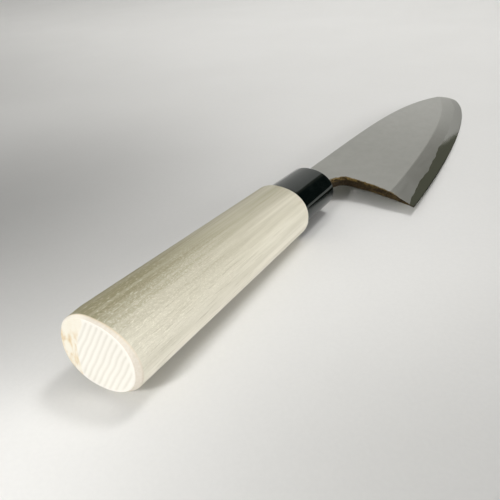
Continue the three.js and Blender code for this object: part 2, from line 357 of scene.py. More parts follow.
def layer_height(x, y):
    """Where the two steels meet: level inside, and turned to meet the strip's border on the bevel."""
    t, inside = edge_place(x, y)
    width = border_width(t)
    at_border = bevel_height(t, width)
    share = np.clip(1 - (inside - width) / LAYER_TURN, 0, 1) ** 2
    return np.minimum(LAYER_Z + (at_border - LAYER_Z) * share, top_height(x, y) - HAIR)


def hollow_depth(x, y):
    """Depth of the hollow that is ground into the back, inside its flat rim."""
    start, end = CHOIL_ROOT[0] + HOLLOW_ENDS[0], TIP[0] - HOLLOW_ENDS[1]
    turn = np.arccos(np.clip(1 - 2 * (x - start) / (end - start), -1, 1))
    low, high = edge_y(x) + HOLLOW_RIMS[0], spine_y(x) - HOLLOW_RIMS[1]
    half = np.maximum((high - low) / 2 * np.sin(turn) ** 0.4, 1e-6)
    across = (y - (low + high) / 2) / half
    depth = HOLLOW_DEPTH * (half / HOLLOW_HALF) ** 2 * (1 - across ** 2)
    return np.where((x <= start) | (x >= end) | (across ** 2 > 1), 0.0, depth)


def broken_edge(points, top):
    """The top sheet's heights with the spine's and the choil's sharp edges broken by a small round."""
    radius = bpy.context.scene.deba_knife.edge_break / MM
    straight = bezier(((FERRULE_FRONT, SPINE_Y), SPINE[0]), np.linspace(0, 1, 434))
    spine = np.vstack([straight, SPINE_LINE[1:]])
    gap = np.minimum(from_line(points, spine), from_line(points, choil_border()))
    gap = np.where(points[..., 0] < FERRULE_FRONT - 1, radius, np.clip(gap, 0, radius))
    # The round fades out towards the cutting edge, where the honed bevel has cut it away
    share = 0.8 * ease((heights(points, lambda x, y: edge_place(x, y)[1]) - 8) / 5)
    return top - (radius - np.sqrt(np.maximum(radius ** 2 - (radius - gap) ** 2, 0))) * share


def choil_border():
    """The choil's outline and the neck's underside in front of the ferrule, as points close together."""
    steps = np.arange(FERRULE_FRONT, CHOIL_ROOT[0], 0.1)
    neck = np.stack([steps, np.interp(steps, *under_line().T)], -1)
    return np.vstack([choil_line(), neck])


# Mesh helpers

def named(name):
    """The object that was just added, under its name."""
    made = bpy.context.object
    made.name = made.data.name = name
    return made


def add_attribute(piece, name, values):
    layer = piece.data.attributes.new(name, "FLOAT", "POINT")
    layer.data.foreach_set("value", np.asarray(values, np.float32).ravel())


def take_attribute(piece, name):
    """The values of an attribute, which is then removed."""
    values = np.empty(len(piece.data.vertices), np.float32)
    layer = piece.data.attributes[name]
    layer.data.foreach_get("value", values)
    piece.data.attributes.remove(layer)
    return values


def places(piece):
    flat = np.empty(len(piece.data.vertices) * 3, np.float32)
    piece.data.vertices.foreach_get("co", flat)
    return flat.reshape(-1, 3).astype(float) / MM


def lay(piece, points):
    piece.data.vertices.foreach_set("co", (points * MM).astype(np.float32).ravel())
    piece.data.update()


def merge_doubles(distance):
    bpy.ops.mesh.select_all(action="SELECT")
    bpy.ops.mesh.remove_doubles(threshold=distance)


def turn_outward():
    """Turns all faces outwards and leaves edit mode."""
    bpy.ops.mesh.select_all(action="SELECT")
    bpy.ops.mesh.normals_make_consistent(inside=False)
    mode("OBJECT")


def hand_over(piece, node, slot, crease, *materials):
    """Finishes the piece, which takes its CAD node's place on the knife's one body."""
    for material in materials:
        piece.data.materials.append(material)
    bpy.ops.object.shade_smooth_by_angle(angle=crease)
    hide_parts(node)
    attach(piece, "root")


# Handle and ferrule

def oval(x, half_width, half_height, count):
    angle = np.linspace(0, 2 * math.pi, count, endpoint=False)
    across = np.sign(np.cos(angle)) * np.abs(np.cos(angle)) ** (2 / OVAL_POWER)
    up = np.sign(np.sin(angle)) * np.abs(np.sin(angle)) ** (2 / OVAL_POWER)
    return np.stack([
        np.full(count, float(x)), half_width * across, half_height * (1 + SPINE_FULLNESS * across) * up,
    ], -1)


def ring_piece(name, station, count):
    """A circle primitive, its points laid on the oval of this station, left in edit mode and selected."""
    deselect()
    bpy.ops.mesh.primitive_circle_add(vertices=count, radius=station[1] * MM, fill_type="NOTHING")
    piece = named(name)
    lay(piece, oval(*station, count))
    mode("EDIT")
    bpy.ops.mesh.select_all(action="SELECT")
    return piece


def pull(stations):
    """Draws the selected oval along X through stations: each is X, half width, half height."""
    for before, after in zip(stations, stations[1:]):
        step = (after[0] - before[0]) * MM
        bpy.ops.mesh.extrude_region_move(TRANSFORM_OT_translate={"value": (step, 0, 0)})
        bpy.ops.transform.resize(
            value=(1, after[1] / before[1], after[2] / before[2]), center_override=(after[0] * MM, 0, 0)
        )


def rounded_corner(first, corner, last, far, steps):
    """Stations that round a corner of the profile, from this far before it to as far past it."""
    corner = np.array(corner, float)
    start, end = (corner + (p - corner) / np.linalg.norm(p - corner) * far for p in (first, last))
    return list(bezier((start, corner, end), np.linspace(0, 1, steps + 1)))


def select_ring(piece, x):
    """Selects the loop of edges that lies across this X."""
    bpy.ops.mesh.select_all(action="DESELECT")
    mode("OBJECT")
    found = np.abs(places(piece)[:, 0] - x) < 1e-3
    for edge in piece.data.edges:
        edge.select = bool(found[edge.vertices[0]] and found[edge.vertices[1]])
    mode("EDIT")


class KNIFE_OT_handle(bpy.types.Operator):
    """Builds the oval wooden handle with its sawn butt, spigot and slot"""
    bl_idname = "knife.handle"
    bl_label = "Wooden handle"

    def execute(self, context):
        knife = context.scene.deba_knife
        face, rim, shoulder = (0, *BUTT_FACE), (BUTT_RIM_DEPTH, *BUTT_RIM), (SHOULDER_X, *SHOULDER)
        spigot, spigot_end = (SHOULDER_X, *SPIGOT), (SPIGOT_END, *SPIGOT)
        profile = rounded_corner((0, 0, 0), face, rim, 0.22, 3)
        profile += rounded_corner(face, rim, shoulder, knife.rim_round / MM, 6)
        shares = np.concatenate([np.linspace(0, 0.06, 7)[1:], np.linspace(0.06, 0.985, 26)[1:]])
        profile += list(bezier((profile[-1], shoulder), shares))
        profile += rounded_corner(rim, shoulder, spigot, knife.shoulder_round / MM, 7)
        profile += [spigot, spigot_end]
        handle = ring_piece("wood_handle", profile[0], HANDLE_SIDES)
        pull(profile)
        self.cut_slot(handle)
        select_ring(handle, profile[0][0])
        bpy.ops.mesh.fill_grid(span=HANDLE_SIDES // 4, offset=0)
        turn_outward()
        self.saw_butt(handle, knife)
        hand_over(handle, "wooden_handle", "handle_wood", TURNED_CREASE, magnolia_wood(knife))
        return {"FINISHED"}

    def cut_slot(self, handle):
        """Pulls the spigot's end inwards to the slot's mouth, and from there back to the slot's bottom."""
        low, high, half = NECK_Y - SLOT_GAP, SPINE_Y + SLOT_GAP, NECK_HALF + SLOT_GAP
        end_half = TANG_END_HALF_WIDTH + SLOT_GAP
        for ring in (
            (SPIGOT_END, low, high, half), (TANG_SHOULDER, low, high, half),
            (TANG_END - SLOT_GAP, -end_half, end_half, TANG_END_HALF + SLOT_GAP),
        ):
            bpy.ops.mesh.extrude_region_move()
            self.square(handle, *ring)
        bpy.ops.mesh.fill_grid(span=HANDLE_SIDES // 8, offset=HANDLE_SIDES // 8)

    def square(self, handle, x, low, high, half):
        """Lays the selected loop on a rectangle, each point where its ray from the middle meets it."""
        mode("OBJECT")
        points = places(handle)
        chosen = np.array([vertex.select for vertex in handle.data.vertices])
        ring = oval(x, 1, 1, chosen.sum())
        along = ring[:, 1:] / np.abs(ring[:, 1:]).max(1, keepdims=True)
        points[chosen] = np.stack([
            np.full(len(along), float(x)),
            (low + high) / 2 + along[:, 0] * (high - low) / 2, along[:, 1] * half,
        ], -1)
        lay(handle, points)
        mode("EDIT")

    def saw_butt(self, handle, knife):
        """Slanted saw marks on the butt, up to the strip beside the spine that was left smooth, and the
        softer rim on the spine side. The marks and that strip are kept as attributes for the wood."""
        points = places(handle)
        x, y, z = points.T
        room = 1 - np.hypot(y / BUTT_FACE[0], z / BUTT_FACE[1])
        wander = np.array([0.3 * noise.noise(Vector((0.22 * b, 0.1 * a, 2.0))) for a, b in zip(y, z)])
        across = y * math.cos(SAW_LEAN) + z * math.sin(SAW_LEAN) + wander
        wave = (0.5 - 0.5 * np.sin(2 * math.pi * across / (knife.saw_pitch / MM))) ** 2
        border = np.interp(z, (-9, -4, 0, 4, 8), (5.6, 6.7, 6.8, 5.4, 3.4)) + wander
        smooth_strip = ease((y - border) / 0.5 + 0.5)
        on_face = (x < 0.02) & (room > -0.02)
        sawn = np.where(on_face, ease(room * 12) * (1 - smooth_strip), 0)
        points[:, 0] += knife.saw_depth / MM * sawn * wave
        rim = ease(x / 0.8) * ease((7 - x) / 5.5)
        uneven = np.array([noise.noise(Vector((c * 0.5, a * 0.25, b * 0.25))) for c, a, b in points]) * 0.05
        points[:, 1:] *= (1 - rim * (0.03 * ease((y - 3) / 8) + np.where(x < 7, uneven / 12, 0)))[:, None]
        lay(handle, points)
        add_attribute(handle, "sawn", np.where(on_face, sawn * wave, 0))
        add_attribute(handle, "smooth_strip", np.where(x < 0.3, smooth_strip, 0))


class KNIFE_OT_ferrule(bpy.types.Operator):
    """Builds the black ferrule as one ring with a rounded front edge and a bore"""
    bl_idname = "knife.ferrule"
    bl_label = "Ferrule"

    def execute(self, context):
        knife = context.scene.deba_knife
        bore_back, back = (SHOULDER_X, *BORE), (SHOULDER_X, *FERRULE_BACK)
        front, bore_front = (FERRULE_FRONT, *FERRULE_TOP), (FERRULE_FRONT, *BORE)
        foot = rounded_corner(bore_back, back, front, 0.15, 3)
        ferrule = ring_piece("black_ferrule", bore_back, FERRULE_SIDES)
        pull([
            bore_back, *foot, *bezier((foot[-1], front), (0.15, 0.3, 0.45, 0.6, 0.75, 0.88)),
            *rounded_corner(back, front, bore_front, knife.ferrule_round / MM, 7),
            *rounded_corner(front, bore_front, bore_back, 0.2, 3), bore_back,
        ])
        merge_doubles(1e-6)
        turn_outward()
        hand_over(ferrule, "ferrule", "ferrule_plastic", TURNED_CREASE, black_plastic(knife))
        return {"FINISHED"}


# Blade

def spread(length, counts, stops=()):
    """Shares of a line for its rows: close together at both ends, and even between the stops."""
    near = NEAR_ROWS * min(1.0, length / (3.2 * NEAR_ROWS[-1]))
    marks = [near[-1], *(length * stop for stop in stops), length - near[-1]]
    middle = [np.linspace(a, b, n + 1)[1:] for a, b, n in zip(marks, marks[1:], counts)]
    return np.concatenate([near, *middle, length - near[-2::-1]]) / length


def line_steps(line):
    return np.concatenate([[0], np.cumsum(np.linalg.norm(np.diff(line, axis=0), axis=1))])


def walk(line, distance):
    """Points at these distances along a polyline."""
    steps = line_steps(line)
    return np.stack([np.interp(distance, steps, line[:, k]) for k in (0, 1)], -1)


def crossing(line, distance_inside):
    """How far along the choil its line reaches this distance from the edge, and the edge's place there."""
    inside = edge_place(*line.T)[1]
    along = np.interp(distance_inside, inside, line_steps(line))
    return along, edge_place(*walk(line, np.array([along])).T)[0][0]


def settle_border(line):
    """Where the strip's border leaves the choil: how far along it, and the edge's place there."""
    t = 0.0
    for _ in range(20):
        along, t = crossing(line, border_width(t))
    return along, t


def across_blade(t, distance):
    """The point this far inside the edge, or on the spine where the blade is narrower."""
    return bezier(EDGE, t) + inward(t) * min(distance, reach(np.array([t]))[0])


def blade_plan(for_iron):
    """The blade's plan as rows by columns: the first column follows the choil, and the rows the edge.
    Gives the points, the number of the strip's rows, and the row at the choil's root."""
    choil = choil_line()
    line = np.vstack([choil, [(CHOIL_ROOT[0], SPINE_Y)]])
    total, root_at = line_steps(line)[-1], line_steps(choil)[-1]
    arc_at = line_steps(choil[:-ROOT_STEPS])[-1]
    border_at, border_t = settle_border(line)
    ridge_at, ridge_t = crossing(line, BEVEL_WIDTH)
    fine = np.linspace(0, 1, 4001)
    far = reach(fine)
    runout = fine[np.argmax(far < BEVEL_WIDTH)]
    runout_x = across_blade(runout, BEVEL_WIDTH)[0]
    last = fine[np.argmax((far < border_width(fine)) & (fine > 0.7))] if for_iron else 1.0
    first = np.array(FIRST_COLUMNS) / EDGE_LENGTH
    tip_columns = IRON_TIP_COLUMNS if for_iron else STEEL_TIP_COLUMNS
    columns = np.concatenate([
        first, np.linspace(first[-1], runout, BEVEL_COLUMNS)[1:], np.linspace(runout, last, tip_columns)[1:],
    ])
    stops = [(distance - ridge_at) / (total - ridge_at) for distance in (arc_at, root_at)]
    strip = np.array(() if for_iron else STRIP_ROWS)
    table, offset = [], None
    for t in columns:
        # The border and the ridge leave the choil a little further along, and then fall in step
        start = max(0.0, 1 - t / START_SHARE)
        border_from = t + border_t * start
        border = across_blade(border_from, border_width(border_from))
        ridge = across_blade(t + ridge_t * start, BEVEL_WIDTH)
        edge = bezier(EDGE, t)
        top = ridge
        if t < runout:
            top_x = CHOIL_ROOT[0] + (runout_x - CHOIL_ROOT[0]) * t / runout
            top = np.array((top_x, spine_y(top_x)))
        on_bevel, on_face = (max(np.linalg.norm(b - a), 1e-6) for a, b in ((border, ridge), (ridge, top)))
        spans = (
            (edge, border, 0, border_at, strip),
            (border, ridge, border_at, ridge_at, spread(on_bevel, BEVEL_ROWS)[0 if for_iron else 1:]),
            (ridge, top, ridge_at, total, spread(on_face, FACE_ROWS, stops)[1:]),
        )
        rows = np.vstack([a + (b - a) * shares[:, None] for a, b, _, _, shares in spans if len(shares)])
        if offset is None:
            path = np.concatenate([a + (b - a) * shares for _, _, a, b, shares in spans])
            offset = walk(line, path) - rows
        table.append(rows + offset * ease(1 - t * EDGE_LENGTH / CHOIL_REACH))
    points = np.array(table).transpose(1, 0, 2)
    root_row = int(np.argmin(np.hypot(*(points[:, 0] - CHOIL_ROOT).T)))
    return points, len(strip), root_row


def neck_plan(first_column, columns):
    """The neck and tang as rows by columns, sharing the blade's first column from the choil's root up."""
    low, high = first_column[0, 1], first_column[-1, 1]
    share = (first_column[:, 1] - low) / (high - low)
    bottom = np.interp(columns, *under_line().T)
    rows = bottom + (upper_y(columns) - bottom) * share[:, None]
    points = np.stack([np.broadcast_to(columns, rows.shape), rows], -1)
    points[:, -1] = first_column
    return points


def closed_from_sheets(name, sheets):
    """One closed solid from flat sheets that share borders: each is its points, top and bottom heights."""
    pieces = []
    for points, top, bottom in sheets:
        deselect()
        rows, columns = top.shape
        bpy.ops.mesh.primitive_grid_add(x_subdivisions=columns - 1, y_subdivisions=rows - 1, size=1)
        piece = named(name)
        lay(piece, np.dstack([points, np.zeros(top.shape)]))
        add_attribute(piece, "top", top)
        add_attribute(piece, "bottom", bottom)
        pieces.append(piece)
    deselect()
    for piece in pieces:
        piece.select_set(True)
    bpy.context.view_layer.objects.active = pieces[0]
    bpy.ops.object.join()
    solid = bpy.context.object
    mode("EDIT")
    merge_doubles(2e-6)
    bpy.ops.mesh.select_all(action="SELECT")
    bpy.ops.mesh.extrude_region_move(TRANSFORM_OT_translate={"value": (0, 0, 0.05)})
    mode("OBJECT")
    points = places(solid)
    points[:, 2] = np.where(points[:, 2] > 10, take_attribute(solid, "top"), take_attribute(solid, "bottom"))
    lay(solid, points)
    mode("EDIT")
    merge_doubles(1e-7)
    turn_outward()
    return solid


def heights(points, function):
    return function(*points.reshape(-1, 2).T).reshape(points.shape[:2])


def sunk_layer(points):
    """The steel's upper side, a hair below the iron that lies on it, and never below the steel's back."""
    gap = HAIR + 0.03 * ease((points[..., 0] - 131) / 3)
    return np.maximum(heights(points, layer_height) - gap, BACK_Z + HAIR)


def wear_in(piece):
    """Wears the tip round, adds the attributes that the metals' patterns follow, and gives the choil's walls
    the second material, the forge scale."""
    points = places(piece)
    near_tip = np.clip(1 - np.linalg.norm(points[:, :2] - TIP, axis=1) / TIP_ROUND_REACH, 0, 1)
    points[:, :2] += near_tip[:, None] ** 2 * TIP_ROUND
    lay(piece, points)
    plan = points[:, :2]
    add_attribute(piece, "from_edge", edge_place(*plan.T)[1])
    add_attribute(piece, "from_choil", np.clip(from_line(plan, choil_border()), 0, 5))
    on_back = points[:, 2] < BACK_Z + HOLLOW_DEPTH + 0.01
    add_attribute(piece, "hollow", on_back * hollow_depth(*plan.T) / HOLLOW_DEPTH)
    for face in piece.data.polygons:
        x, y, _ = face.center / MM
        wall = abs(face.normal.z) < 0.7 and face.normal.y < 0.6
        if wall and FERRULE_FRONT - 2 < x < SCALE_END[0] and y < SCALE_END[1]:
            face.material_index = 1


class KNIFE_OT_blade(bpy.types.Operator):
    """Builds the soft iron body of the blade with its ground face, bevel, neck and tang"""
    bl_idname = "knife.blade"
    bl_label = "Soft iron body"

    def execute(self, context):
        plan, _, root = blade_plan(True)
        columns = np.array([
            TANG_END, 60, 75, 90, TANG_SHOULDER, 110, 113, FERRULE_FRONT, *np.arange(116.8, 125, 0.5),
            LAYER_START - 0.01, LAYER_START + 0.01, *CHOIL_COLUMNS,
        ])
        sheets = []
        for points in (plan, neck_plan(plan[root:, 0], columns)):
            x = points[..., 0]
            top = broken_edge(points, heights(points, top_height))
            bottom = np.where(x < LAYER_START, -tang_half(x), heights(points, layer_height))
            sheets.append((points, top, bottom))
        blade = closed_from_sheets("blade_iron", sheets)
        wear_in(blade)
        knife = context.scene.deba_knife
        hand_over(blade, "blade_and_tang", "soft_iron", IRON_CREASE, ground_iron(knife), forge_scale(knife))
        return {"FINISHED"}


class KNIFE_OT_cutting_steel(bpy.types.Operator):
    """Builds the hard steel layer with the bright strip along the edge and the hollow back"""
    bl_idname = "knife.cutting_steel"
    bl_label = "Hard steel layer"

    def execute(self, context):
        plan, strip_rows, root = blade_plan(False)
        neck = neck_plan(plan[root:, 0], np.array([LAYER_START + 0.02, *CHOIL_COLUMNS]))
        rows = np.arange(plan.shape[0])[:, None]
        top = np.where(rows < strip_rows, heights(plan, top_height), sunk_layer(plan))
        steel = closed_from_sheets("blade_steel", [
            (plan, top, BACK_Z + heights(plan, hollow_depth)),
            (neck, sunk_layer(neck), np.full(neck.shape[:2], BACK_Z)),
        ])
        wear_in(steel)
        knife = context.scene.deba_knife
        hand_over(steel, "cutting_steel", "hard_steel", STEEL_CREASE, honed_steel(knife), forge_scale(knife))
        return {"FINISHED"}


# Materials

# Kinds of node: type, settings, the sockets that values go to in order, and the output that is used
NODES = {
    "place": ("TexCoord", {}, (), "Object"),
    "own": ("Attribute", {}, (), "Fac"),
    "mapping": ("Mapping", {}, ("Vector", "Scale", "Location"), 0),
    "noise": ("TexNoise", {}, ("Vector", "Scale", "Detail", "Roughness", "Distortion"), 0),
    "fade": ("TexGradient", {"gradient_type": "SPHERICAL"}, ("Vector",), "Fac"),
    "dot": ("VectorMath", {"operation": "DOT_PRODUCT"}, (0, 1), "Value"),
    "step": ("MapRange", {"interpolation_type": "SMOOTHSTEP"}, (0, 1, 2, 3, 4), 0),
    "times": ("Math", {"operation": "MULTIPLY"}, (0, 1), 0),
    "plus": ("Math", {"operation": "ADD"}, (0, 1), 0),
    "minus": ("Math", {"operation": "SUBTRACT"}, (0, 1), 0),
    "larger": ("Math", {"operation": "MAXIMUM"}, (0, 1), 0),
    "unsigned": ("Math", {"operation": "ABSOLUTE"}, (0,), 0),
    "mix": ("Mix", {"data_type": "RGBA"}, (0, 6, 7), 2),
    "bump": ("Bump", {}, ("Height", "Distance", "Strength"), 0),
    "ray": ("LightPath", {}, (), "Is Camera Ray"),
}


def feed(socket, value):
    """Links a node's output to the socket, or sets a value there. A hex colour becomes its linear colour."""
    if isinstance(value, bpy.types.NodeSocket):
        socket.id_data.links.new(value, socket)
    else:
        socket.default_value = linear(value) if isinstance(value, str) else value


def adder(tree):
    """The one function that adds nodes to this tree."""
    def add(kind, *values, output=None, **settings):
        """Adds a node with its settings and links, and gives one of its outputs."""
        name, usual, sockets, main = NODES[kind]
        made = tree.nodes.new("ShaderNode" + name)
        for setting, value in {**usual, **settings}.items():
            setattr(made, setting, value)
        for socket, value in zip(sockets, values):
            feed(made.inputs[socket], value)
        return made.outputs[output or main]
    return add


def new_material(name):
    material = bpy.data.materials.new(name)
    material.use_nodes = True
    tree = material.node_tree
    return material, adder(tree), tree.nodes["Principled BSDF"]


def grain(add, lengths, levels=None, detail=2.0, roughness=0.5, distortion=0.0):
    """Noise in the piece's own space, with grains this many millimetres long on X, Y and Z, as it comes or
    as a smooth step between two of its levels."""
    scaled = add("mapping", add("place"), [1 / (length * MM) for length in lengths])
    made = add("noise", scaled, 1.0, detail, roughness, distortion)
    return add("step", made, *levels) if levels else made


def along(add, direction, place=None):
    """How far a place lies in this direction, in metres."""
    return add("dot", place or add("place"), tuple(direction))


def gap_to(add, value, mark):
    """How far the value is from the mark, to either side."""
    return add("unsigned", add("minus", value, mark))


def paint(add, colour, *coats):
    """Lays coats over a colour, one after the other: each is a colour, its share and often its strength."""
    for over, share, *strength in coats:
        colour = add("mix", add("times", share, *strength) if strength else share, colour, over)
    return colour


def surface(add, shader, colour, roughness, height, depth):
    """Feeds the shader its colour and roughness, and bumps this many millimetres deep at a height of 1."""
    bumps = add("bump", height, depth * MM, 1.0)
    for name, value in (("Base Color", colour), ("Roughness", roughness), ("Normal", bumps)):
        feed(shader.inputs[name], value)


def magnolia_wood(knife):
    """Magnolia, turned to an oval, sanded and left bare. Pale and close-grained: soft olive streaks of
    heartwood along the grain, fine pores, and light ray flecks where the surface cuts the rays. Painted
    shade darkens the upper side towards the spine, most towards the butt. The butt is sawn end grain,
    chalky, painted paler than the sides for the strong light on it, with grey-beige saw marks painted
    darker in their grooves as shade. Nothing shines, it only has a soft sheen."""
    material, add, shader = new_material("Magnolia wood, sanded and bare")
    x = along(add, (1, 0, 0))
    # Painted shade: the upper side towards the spine is darkened with the olive streak colour, most towards
    # the butt, as the shade on that side
    upper_spine_side = add("step", along(add, (0, 0.74, 0.67)), -0.0145, 0.0105)
    painted_shade = add("times", upper_spine_side, add("step", x, 0.08, 0.015, 0.74, 1.1))
    broad = grain(add, (140, 3.6, 3.6), (0.34, 0.66), 1.0, distortion=0.4)
    fine = grain(add, (45, 0.9, 0.9), (0.3, 0.7), 3.0, 0.6)
    streaks = add("plus", add("times", broad, 0.16), add("times", fine, 0.12))
    dark = add("plus", add("times", painted_shade, 0.86), add("minus", streaks, 0.1))
    # Pores: dark hair lines along the grain, a third of a millimetre apart, most of them near the butt
    pores = grain(add, (12, 0.36, 0.36), (0.58, 0.7), 1.0)
    pores = add("times", pores, add("step", x, 0.085, 0.03, 0.25, 1.0))
    # Ray flecks: light curls a millimetre long, in two bands on opposite sides of the handle
    curls = grain(add, (0.9, 0.5, 0.5), detail=1.0, distortion=0.3)
    band = gap_to(add, along(add, (0, -0.5, 0.87)), 0)
    band = add("times", add("step", band, 0.006, 0.0095), add("step", x, 0.07, 0.03))
    curls = add("times", add("step", gap_to(add, curls, 0.5), 0.05, 0.01), band)
    flecks = grain(add, (1.3, 0.27, 0.27), (0.6, 0.69), 1.0)
    flecks = add("times", flecks, add("step", x, 0.06, 0.01))
    # The rim is cut across the grain, creamier on the spine's side, with some hand grease on its outer edge
    rings = grain(add, (3, 0.5, 0.5), (0.3, 0.7))
    spine_side = add("step", along(add, (0, 1, 0)), 0.0005, 0.0065)
    outer = add("step", x, 0.0009, 0.0014)
    greased = add("step", upper_spine_side, 0, 0.8, 0.1, 0.5)
    rim = paint(add, "#dcd4c8", ("#d5ccbd", rings), ("#f4eee0", spine_side, 0.9), ("#cfb98c", outer, greased))
    # The sawn face: end grain painted paler than the sides for the strong light on the butt, grey-beige saw
    # marks painted darker in their grooves as shade, and a tan stain low on the strip left smooth
    marks = add("own", attribute_name="sawn")
    speckle = grain(add, (1, 0.35, 0.35), (0.3, 0.7))
    stain = grain(add, (9, 1.8, 3.0), (0.38, 0.72), 3.0, 0.6)
    low = add("step", along(add, (0, 0, 1)), 0.0055, 0.0015, 0.1, 0.95)
    stained = paint(add, "#efe9da", ("#d6bd8f", stain, low))
    smooth_strip = add("own", attribute_name="smooth_strip")
    # Painted light and shade: pale end grain for the strong light on the butt, and grey-beige in the saw
    # marks' grooves as their shade
    sawn = paint(add, knife.lit_end_grain, ("#d6d1c4", marks, 0.7), ("#f0ebe0", speckle, 0.25))
    face = paint(add, sawn, (stained, smooth_strip))
    colour = paint(
        add, knife.wood_light, (knife.wood_dark_and_shade, dark), ("#8b8264", pores, 0.28), ("#eeead9", curls, 0.24),
        ("#ece8d8", flecks, 0.36), (rim, add("step", x, 0.0017, 0.0013)),
        (face, add("step", x, 0.00024, 0.00012)),
    )
    height = add("minus", add("times", curls, 0.4), add("times", pores, 0.6))
    height = add("plus", height, add("times", fine, 0.25))
    surface(add, shader, colour, add("step", fine, 0, 1, 0.5, 0.64), height, 0.05)
    return material


def black_plastic(knife):
    """Black plastic, moulded glossy and handled: it mirrors what is round it, a little wavily, with a faint
    dust that lifts the black and fine rubbed streaks that dull it."""
    material, add, shader = new_material("Black plastic, moulded glossy")
    dust = grain(add, (3.5, 3.5, 3.5), (0.45, 0.75), 4.0, 0.65)
    rubbed = grain(add, (14, 0.6, 0.6), (0.4, 0.75), 3.0, 0.6)
    edge = add("step", along(add, (1, 0, 0)), 0.1152, 0.1161)
    colour = paint(add, knife.ferrule_black, ("#222826", dust, 0.25), ("#3b403d", edge, 0.4))
    roughness = add("step", add("larger", rubbed, edge), 0, 1, 0.03, 0.08)
    shader.inputs["Specular Tint"].default_value = linear("#d8e8e3")
    surface(add, shader, colour, roughness, grain(add, (5, 3, 3), detail=1.0), 0.02)
    return material


def ground_iron(knife):
    """Soft iron, ground on a wheel and left satin, then the bevel honed on stones. The face is an even
    cloudy grey with faint lines along the blade, lighter towards the tip. The bevel is darker with painted
    shade that fades out towards the tip, and has finer lines along the edge, and the ridge between them
    has a painted highlight. Forge scale creeps over the choil's edge."""
    material, add, shader = new_material("Soft iron, satin ground")
    x, from_edge = along(add, (1, 0, 0)), add("own", attribute_name="from_edge")
    bevel = add("step", from_edge, BEVEL_WIDTH + 0.2, BEVEL_WIDTH - 0.2)
    # Painted highlight: a soft light line along the ridge between the face and the bevel
    ridge = add("step", gap_to(add, from_edge, BEVEL_WIDTH), 0.7, 0.1)
    cloud = grain(add, (7, 5, 5), (0.25, 0.75), 4.0, 0.7)
    # Real grinding lines are a tenth of a millimetre apart, and are drawn at four tenths to show
    lines = grain(add, (22, 0.4, 0.4), (0.3, 0.7), 3.0, 0.7)
    # The blade is lighter towards its tip, the bevel more than the face
    rubbed = add("step", x, 0.15, 0.265)
    brighter = add("times", rubbed, add("step", bevel, 0, 1, 0.42, 0.78))
    # Painted shade: the bevel is painted darker than the face near the heel, fading out towards the tip
    honed = add("times", bevel, add("step", rubbed, 0.75, 0.15, 0.0, 0.5))
    # Forge scale in ragged patches, up to a millimetre over the edge
    ragged = add("times", grain(add, (1.6, 1.6, 1.6), detail=3.0, roughness=0.6), 1.9)
    scaled = add("step", add("plus", add("own", attribute_name="from_choil"), ragged), 1.6, 1.15)
    scaled = add("times", scaled, add("step", from_edge, 4, 9))
    from_heel = add("step", x, 0.13, 0.165, 0.15, 1.0)
    colour = paint(
        add, knife.iron, ("#94948d", cloud, 0.3), ("#bcbcb8", lines, 0.16), ("#d4d4d0", brighter),
        ("#92918a", honed, from_heel), ("#c6c6c1", ridge, 0.16), ("#65542f", scaled),
    )
    rough = add("step", add("plus", cloud, lines), 0, 2, 0.36, 0.46)
    rough = add("minus", rough, add("times", bevel, 0.05))
    rough = add("plus", rough, add("times", scaled, 0.4))
    surface(add, shader, colour, rough, add("plus", lines, scaled), 0.008)
    feed(shader.inputs["Metallic"], add("step", scaled, 0, 1, 1.0, 0.15))
    return material


def honed_steel(knife):
    """Hard steel, honed on fine stones: nearly a mirror, so the strip shows dark where it mirrors the dark
    side of the room and light where it mirrors the pale one, streaked by the stone. The back's hollow
    keeps the wheel's coarser lines across it."""
    material, add, shader = new_material("Hard steel, honed")
    hollow = add("step", add("own", attribute_name="hollow"), 0.0, 0.12)
    # Stone scratches are a hundredth of a millimetre apart, and are drawn at three tenths to show
    lines = grain(add, (16, 0.3, 0.3), (0.3, 0.7), 3.0, 0.7)
    wheel = grain(add, (0.5, 24, 24), (0.3, 0.7), 3.0, 0.7)
    cloud = grain(add, (9, 5, 5), (0.3, 0.7), 3.0, 0.6)
    # Wiping has dulled the strip to a satin grey near the tip, where its border fades
    from_edge = add("own", attribute_name="from_edge")
    uneven = add("plus", add("times", from_edge, 0.0043), add("times", cloud, 0.002))
    dulled = add("step", add("plus", along(add, (1, 0, 0)), uneven), 0.205, 0.226)
    dulled = add("times", dulled, add("step", from_edge, 8, 7))
    wheel_ground = paint(add, "#8c8c86", ("#a2a29d", wheel))
    colour = paint(
        add, knife.steel, ("#98998c", lines, 0.25), (wheel_ground, hollow, 0.6), ("#c1c1bd", dulled)
    )
    rough = add("step", add("plus", lines, cloud), 0, 2, 0.03, 0.07)
    rough = add("plus", rough, add("times", hollow, 0.2))
    rough = add("plus", rough, add("times", dulled, 0.32))
    shader.inputs["Metallic"].default_value = 1.0
    surface(add, shader, colour, rough, add("mix", hollow, lines, wheel), 0.001)
    return material


def forge_scale(knife):
    """Iron with the forge's scale left on, filed here and there: matt, dark brown and pitted, lighter where
    rust has dusted it or the file has cut through, with painted shade darkening it towards the neck."""
    material, add, shader = new_material("Iron, forge scale left on")
    patches = grain(add, (2.4, 2.4, 1.4), (0.36, 0.68), 4.0, 0.65)
    pits = grain(add, (0.7, 0.7, 0.7), (0.3, 0.7), 3.0, 0.6)
    # Painted shade: the lighter patches thin out from the heel towards the neck, so the choil's corner by the
    # neck is darker
    unshaded_share = add("step", along(add, (0, 1, 0)), -0.009, -0.026, 0.2, 1.0)
    # Golden-brown rust along the upper edge, in ragged spots
    upper = add("step", along(add, (0, 0, 1)), -0.0004, 0.0010)
    spots = grain(add, (1.4, 1.4, 1.0), (0.44, 0.56), 3.0, 0.65)
    patchy = paint(add, knife.scale, ("#5f4e2c", patches, unshaded_share))
    colour = paint(add, patchy, ("#1d1608", pits, 0.4), ("#8a7240", upper, spots))
    shader.inputs["Specular IOR Level"].default_value = 0.3
    surface(add, shader, colour, add("step", pits, 0, 1, 0.7, 0.95), add("plus", patches, pits), 0.12)
    return material


